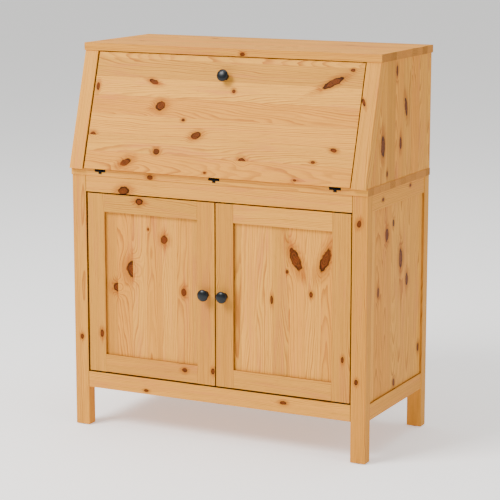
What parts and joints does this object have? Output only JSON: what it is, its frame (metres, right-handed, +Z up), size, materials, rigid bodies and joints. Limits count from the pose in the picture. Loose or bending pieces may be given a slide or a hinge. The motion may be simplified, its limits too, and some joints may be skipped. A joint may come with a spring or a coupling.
{
  "type": "secretary desk",
  "caption": "Solid pine secretary desk: slanted drop-front writing flap over a two-door cabinet on square legs, with round dark knobs.",
  "frame": {"origin": "middle of the footprint on the floor, under the box of the closed desk", "axes": "+Z up, front with the flap and the doors towards -Y, +X to the right seen from the front"},
  "size_m": [0.89, 0.461, 1.07],
  "materials": {
    "pine": "knotty pine, clear satin lacquer",
    "knob": "blue-black satin enamel",
    "hinge": "matt black",
    "steel": "zinc plated",
    "dowel": "raw beech",
    "glide": "pressed felt",
    "catch": "moulded"
  },
  "bodies": {
    "carcass": {"top_panel": "pine", "upper_side_left": "pine", "upper_side_right": "pine", "slant_post_left": "pine", "slant_post_right": "pine", "upper_back_panel": "pine", "flap_stop_rail": "pine", "desk_board": "pine", "flap_hinge_board_leaves": "hinge", "flap_hinge_pins": "hinge", "stay_wall_posts": "steel", "letter_shelf": "pine", "letter_ends": "pine", "letter_divider": "pine", "leg_front_left": "pine", "leg_front_right": "pine", "leg_rear_left": "pine", "leg_rear_right": "pine", "front_top_rail": "pine", "front_bottom_rail": "pine", "rear_top_rail": "pine", "rear_bottom_rail": "pine", "side_top_rail_left": "pine", "side_top_rail_right": "pine", "side_bottom_rail_left": "pine", "side_bottom_rail_right": "pine", "side_panel_left": "pine", "side_panel_right": "pine", "lower_back_panel": "pine", "cabinet_floor": "pine", "cabinet_shelf": "pine", "shelf_cleats": "pine", "frame_dowels": "dowel", "foot_glides": "glide", "door_pivot_pins": "hinge", "door_catch": "catch"},
    "flap": {"writing_flap": "pine", "flap_knob": "knob", "flap_hinge_flap_leaves": "hinge", "stay_flap_lugs": "steel"},
    "stay_rear_left": {"stay_rear_arm_left": "steel"},
    "stay_front_left": {"stay_front_arm_left": "steel"},
    "door_left": {"door_left_hinge_stile": "pine", "door_left_meeting_stile": "pine", "door_left_top_rail": "pine", "door_left_bottom_rail": "pine", "door_left_panel": "pine", "door_left_knob": "knob", "door_left_pivots": "hinge", "door_left_strike": "steel"},
    "stay_rear_right": {"stay_rear_arm_right": "steel"},
    "stay_front_right": {"stay_front_arm_right": "steel"},
    "door_right": {"door_right_hinge_stile": "pine", "door_right_meeting_stile": "pine", "door_right_top_rail": "pine", "door_right_bottom_rail": "pine", "door_right_panel": "pine", "door_right_knob": "knob", "door_right_pivots": "hinge", "door_right_strike": "steel"}
  },
  "joints": [
    {"name": "flap_hinge", "type": "hinge", "parent": "carcass", "child": "flap", "pos_m": [0, -0.20823, 0.7275], "axis": [1, 0, 0], "range_deg": [0, 106.8]},
    {"name": "stay_rear_left_pivot", "type": "hinge", "parent": "carcass", "child": "stay_rear_left", "pos_m": [-0.3961, -0.07123, 0.7895], "axis": [1, 0, 0], "range_deg": [0, 113.24]},
    {"name": "stay_front_left_pivot", "type": "hinge", "parent": "flap", "child": "stay_front_left", "pos_m": [-0.3936, -0.14764, 0.87112], "axis": [1, 0, 0], "range_deg": [-113.46, 0]},
    {"name": "door_left_hinge", "type": "hinge", "parent": "carcass", "child": "door_left", "pos_m": [-0.3856, -0.1945, 0.4125], "axis": [0, 0, -1], "range_deg": [0, 110]},
    {"name": "stay_rear_right_pivot", "type": "hinge", "parent": "carcass", "child": "stay_rear_right", "pos_m": [0.3961, -0.07123, 0.7895], "axis": [1, 0, 0], "range_deg": [0, 113.24]},
    {"name": "stay_front_right_pivot", "type": "hinge", "parent": "flap", "child": "stay_front_right", "pos_m": [0.3936, -0.14764, 0.87112], "axis": [1, 0, 0], "range_deg": [-113.46, 0]},
    {"name": "door_right_hinge", "type": "hinge", "parent": "carcass", "child": "door_right", "pos_m": [0.3856, -0.1945, 0.4125], "axis": [0, 0, 1], "range_deg": [0, 110]}
  ],
  "couplings": [
    {"joint": "stay_rear_left_pivot", "follows": "flap_hinge", "ratio": 1.0598},
    {"joint": "stay_front_left_pivot", "follows": "flap_hinge", "ratio": -1.0619},
    {"joint": "stay_rear_right_pivot", "follows": "flap_hinge", "ratio": 1.0598},
    {"joint": "stay_front_right_pivot", "follows": "flap_hinge", "ratio": -1.0619}
  ]
}
